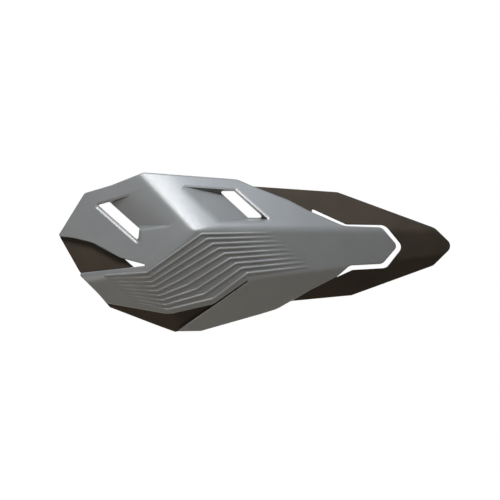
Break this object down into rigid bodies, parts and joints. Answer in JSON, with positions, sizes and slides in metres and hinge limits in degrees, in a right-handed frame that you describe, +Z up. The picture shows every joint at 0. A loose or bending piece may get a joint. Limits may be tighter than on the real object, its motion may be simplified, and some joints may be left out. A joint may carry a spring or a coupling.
{
  "type": "motorcycle hand guard",
  "caption": "Faceted two-shell hand guard for an off-road motorcycle, left side: grey vented and ribbed cover screwed to a black carrier with a tail and threaded bracket mounts.",
  "frame": {"origin": "middle of the two bracket holes, on the flange faces that the bracket bolts against", "axes": "+X outboard along the handlebar, +Y back towards the rider, out of the bracket holes, +Z up"},
  "size_m": [0.2922, 0.0703, 0.1188],
  "materials": {
    "cover": "satin grey injection-moulded polypropylene, very fine grain",
    "carrier": "satin black injection-moulded polypropylene",
    "screw": "zinc-plated steel",
    "insert": "turned brass"
  },
  "bodies": {
    "root": {"cover_shell": "cover", "carrier_shell": "carrier", "cover_screw_1": "screw", "cover_screw_2": "screw", "cover_screw_3": "screw", "cover_screw_4": "screw", "cover_screw_5": "screw", "cover_screw_6": "screw", "mount_insert_inner": "insert", "mount_insert_outer": "insert"}
  },
  "joints": []
}
